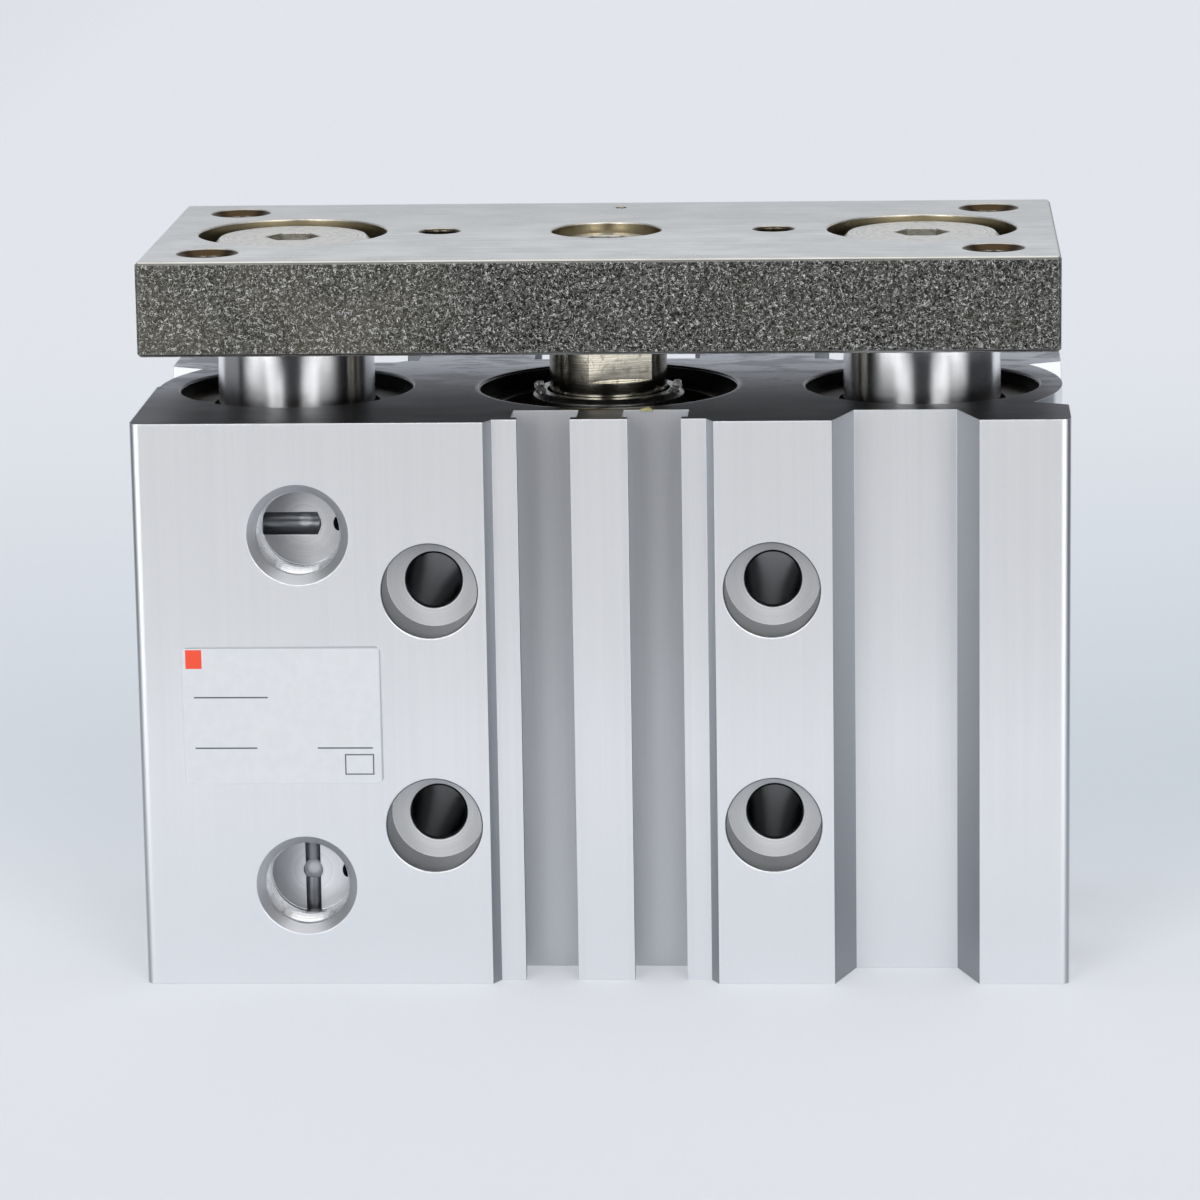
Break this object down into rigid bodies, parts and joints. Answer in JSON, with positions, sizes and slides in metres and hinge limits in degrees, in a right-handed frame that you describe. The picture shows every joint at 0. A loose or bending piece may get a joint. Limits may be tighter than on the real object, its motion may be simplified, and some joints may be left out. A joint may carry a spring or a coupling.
{
  "type": "guided pneumatic cylinder",
  "caption": "Compact guided pneumatic cylinder: a grooved extruded body with guide rods beside the piston rod, and a thick tooling plate that they carry.",
  "frame": {"origin": "centre of the body's bottom face", "axes": "+Z along the stroke towards the plate, +X along the body's width, -Y towards the face with the air ports"},
  "size_m": [0.093, 0.042, 0.0735],
  "materials": {
    "anodised_aluminium": "satin clear anodised extrusion",
    "plated_plate_steel": "ground and nickel plated, faces fine, edges coarse",
    "hard_chrome": "ground hard chrome",
    "plated_rod_steel": "chromed, slightly warm",
    "plated_screw_steel": "nickel plated",
    "cover_alloy": "turned",
    "piston_alloy": "turned",
    "bearing_bronze": "oil soaked",
    "seal_rubber": "matte black",
    "bumper_rubber": "matte",
    "magnet": "bonded magnet",
    "oiled_felt": "oiled felt",
    "dark_spring_steel": "phosphated",
    "ball_steel": "polished"
  },
  "bodies": {
    "housing": {"body": "anodised_aluminium", "rod_cover": "cover_alloy", "rod_bush": "bearing_bronze", "rod_seal": "seal_rubber", "rod_cover_o_ring": "seal_rubber", "rod_retaining_ring": "dark_spring_steel", "stroke_spacer": "cover_alloy", "head_cover": "cover_alloy", "head_cover_o_ring": "seal_rubber", "head_retaining_ring": "dark_spring_steel", "head_bumper": "bumper_rubber", "upper_side_port_plug": "plated_screw_steel", "lower_side_port_plug": "plated_screw_steel", "passage_balls": "ball_steel", "upper_guide_bush_left": "bearing_bronze", "lower_guide_bush_left": "bearing_bronze", "guide_felt_left": "oiled_felt", "felt_holder_left": "dark_spring_steel", "upper_guide_bush_right": "bearing_bronze", "lower_guide_bush_right": "bearing_bronze", "guide_felt_right": "oiled_felt", "felt_holder_right": "dark_spring_steel"},
    "carriage": {"plate": "plated_plate_steel", "plate_bolt": "plated_screw_steel", "piston_rod": "plated_rod_steel", "piston": "piston_alloy", "piston_seal": "seal_rubber", "piston_magnet": "magnet", "rod_bumper": "bumper_rubber", "guide_rod_left": "hard_chrome", "guide_bolt_left": "plated_screw_steel", "guide_rod_right": "hard_chrome", "guide_bolt_right": "plated_screw_steel"}
  },
  "joints": [
    {"name": "stroke", "type": "slide", "parent": "housing", "child": "carriage", "axis": [0, 0, 1], "range_m": [0, 0.01]}
  ]
}
